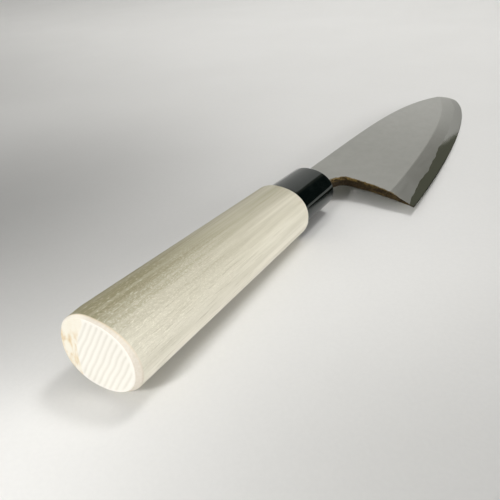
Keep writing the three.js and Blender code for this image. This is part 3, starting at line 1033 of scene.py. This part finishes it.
def paper_sheet(knife):
    """A large sheet of matt white paper with painted shade in soft patches that stands in for uneven light:
    beside the handle on the spine's side, where its soft shadow falls, near the viewer and far away.
    Faintly cloudy, with fibres too fine to stand out."""
    material, add, shader = new_material("White paper, matt")
    cloud = grain(add, (60, 60, 60), (0.25, 0.75), 3.0)
    fibres = grain(add, (1.2, 1.2, 1.2), (0.3, 0.7))
    coats = [("#c4c2bc", cloud, 0.05), ("#c4c4c2", fibres, 0.05)]
    for centre, radii, share in PAINTED_PAPER_SHADE:
        scale = [1 / (radius * MM) for radius in radii]
        location = (-centre[0] / radii[0], -centre[1] / radii[1], 0)
        patch = add("fade", add("mapping", add("place"), (*scale, 0.01), location))
        # Each patch is painted shade that darkens the paper towards black in its middle
        coats.append(("#000000", add("step", patch, 0, 1, 0, share)))
    colour = paint(add, knife.paper, *coats)
    surface(add, shader, colour, add("step", cloud, 0, 1, 0.66, 0.78), fibres, 0.01)
    return material


# Stage

FLOOR_UP = Vector((-0.03400627, 0.07920746, 0.99627795))
FLOOR_OFFSET = -12.6009215 * MM
CAMERA_PLACE = Vector((-77.552, -89.29174, 98.35107)) * MM
CAMERA_RIGHT = Vector((0.52317, -0.85205, 0.01752))
CAMERA_UP = Vector((0.43055, 0.282, 0.85738))
CAMERA_LENS = 43.64485

# Painted shade on the paper, standing in for uneven light: centre and radii in millimetres, and how much
# darker the middle is
PAINTED_PAPER_SHADE = (
    ((75, 562), (337, 647), 0.5),
    ((53, 108), (170, 175), 0.42),
    ((12, -98), (105, 84), 0.2),
    ((-6, -42), (88, 60), 0.14),
)
# Colours of the room that the polished metal and the ferrule mirror. Only the camera sees the backdrop
ROOM = {
    "behind": "#a0a09e", "gap": "#62635a", "corner": "#121312", "board": "#dddcd8", "ceiling": "#b4b4b4",
    "horizon": "#d2d1cd", "backdrop": "#d3d2cf",
}
# Where the room's board ends and its gap is, counted from straight ahead to the left
BOARD_END = math.radians(-28)
GAP_MIDDLE = math.radians(10)
# Name, direction from the target, distance and size in metres, watts, spread in degrees, and the target in
# millimetres
LAMPS = (
    ("lamp_overhead", (0.38, -0.14, 1.0), 1.2, (0.3, 0.3), 4.9, 180, (100, -5, 0)),
    ("lamp_ahead", (0.0, 0.0, 1.0), 1.2, (0.3, 0.3), 0.15, 40, (540, 240, 0)),
    ("lamp_right", (0.25, -0.89, 0.37), 1.6, (0.9, 0.72), 1.2, 50, (70, 0, 0)),
    ("lamp_behind", (-0.81, 0.0, 0.585), 0.5, (0.08, 0.08), 0.037, 24, (-10, 4, -8)),
)


def soft_lamp(name, towards, distance, size, watts, spread, target):
    """A soft oval lamp that shines on the target from this direction."""
    direction = Vector(towards).normalized()
    bpy.ops.object.light_add(type="AREA", location=Vector(target) * MM + direction * distance)
    lamp = named(name)
    lamp.data.shape = "ELLIPSE"
    lamp.data.size, lamp.data.size_y = size
    lamp.data.energy = watts
    lamp.data.spread = math.radians(spread)
    lamp.rotation_euler = direction.to_track_quat("Z", "Y").to_euler()


def room_light():
    """Soft light from all round: a pale board ahead on the spine's side, a dark gap beside it that the
    polished strip and the ferrule mirror, a pale horizon and a dimmer ceiling."""
    world = bpy.data.worlds.new("Room light")
    world.use_nodes = True
    add = adder(world.node_tree)
    way = add("place", output="Generated")
    ahead = (Vector((1, 0, 0)) - FLOOR_UP * FLOOR_UP.x).normalized()
    left = FLOOR_UP.cross(ahead)
    up = along(add, FLOOR_UP, way)
    on_board = add("step", along(add, ahead * -0.1151 + left * 0.969 + FLOOR_UP * 0.2183, way), 0.015, 0.035)
    before_end, in_gap = (
        add("step", along(add, ahead * math.cos(turn) + left * math.sin(turn), way), low, high)
        for turn, low, high in ((BOARD_END, -0.2, 0.2), (GAP_MIDDLE, 0.0, 0.25))
    )
    to_left = along(add, left, way)
    gap = paint(add, ROOM["gap"], (ROOM["corner"], add("step", to_left, -0.05, -0.12)))
    colour = paint(
        add, ROOM["behind"], (gap, in_gap), (ROOM["board"], on_board, before_end),
        (ROOM["ceiling"], add("step", up, 0.6, 0.8)),
        (ROOM["horizon"], add("step", up, 0.1, 0.06), add("step", to_left, -0.2, -0.1)),
        (ROOM["backdrop"], add("ray")),
    )
    feed(world.node_tree.nodes["Background"].inputs["Color"], colour)
    return world


class KNIFE_OT_stage(bpy.types.Operator):
    """Lays the pale floor, sets the lamps and the room's light, and places the camera"""
    bl_idname = "knife.stage"
    bl_label = "Stage"

    def execute(self, context):
        deselect()
        middle = Vector((0.1, 0, 0))
        foot = middle - FLOOR_UP * (middle.dot(FLOOR_UP) - FLOOR_OFFSET)
        bpy.ops.mesh.primitive_plane_add(size=8)
        floor = named("floor")
        tilt = FLOOR_UP.to_track_quat("Z", "Y").to_matrix().to_4x4()
        floor.data.transform(Matrix.Translation(foot) @ tilt)
        floor.data.materials.append(paper_sheet(context.scene.deba_knife))
        for lamp in LAMPS:
            soft_lamp(*lamp)
        context.scene.world = room_light()
        bpy.ops.object.camera_add(location=CAMERA_PLACE)
        camera = context.object
        back = CAMERA_RIGHT.cross(CAMERA_UP)
        camera.rotation_euler = Matrix((CAMERA_RIGHT, CAMERA_UP, back)).transposed().to_euler()
        camera.data.sensor_width = 36
        camera.data.lens = CAMERA_LENS
        camera.data.clip_start = 0.005
        context.scene.camera = camera
        context.scene.view_settings.view_transform = "Standard"
        return {"FINISHED"}


class KNIFE_PT_panel(bpy.types.Panel):
    """Lists the knife's sizes and colours and builds its pieces"""
    bl_idname = "KNIFE_PT_panel"
    bl_label = "Deba knife"
    bl_space_type = "VIEW_3D"
    bl_region_type = "UI"
    bl_category = "Knife"

    def draw(self, context):
        for name in DebaKnife.__annotations__:
            self.layout.prop(context.scene.deba_knife, name)
        for operator in OPERATORS:
            self.layout.operator(operator.bl_idname)


OPERATORS = (KNIFE_OT_stage, KNIFE_OT_handle, KNIFE_OT_ferrule, KNIFE_OT_blade, KNIFE_OT_cutting_steel)
CLASSES = (DebaKnife, *OPERATORS, KNIFE_PT_panel)


def register():
    for kind in CLASSES:
        bpy.utils.register_class(kind)
    bpy.types.Scene.deba_knife = bpy.props.PointerProperty(type=DebaKnife)


def unregister():
    del bpy.types.Scene.deba_knife
    for kind in reversed(CLASSES):
        bpy.utils.unregister_class(kind)


def main():
    register()
    bpy.ops.knife.stage()
    bpy.ops.knife.handle()
    bpy.ops.knife.ferrule()
    bpy.ops.knife.blade()
    bpy.ops.knife.cutting_steel()
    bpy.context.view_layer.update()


if __name__ == "__main__":
    main()
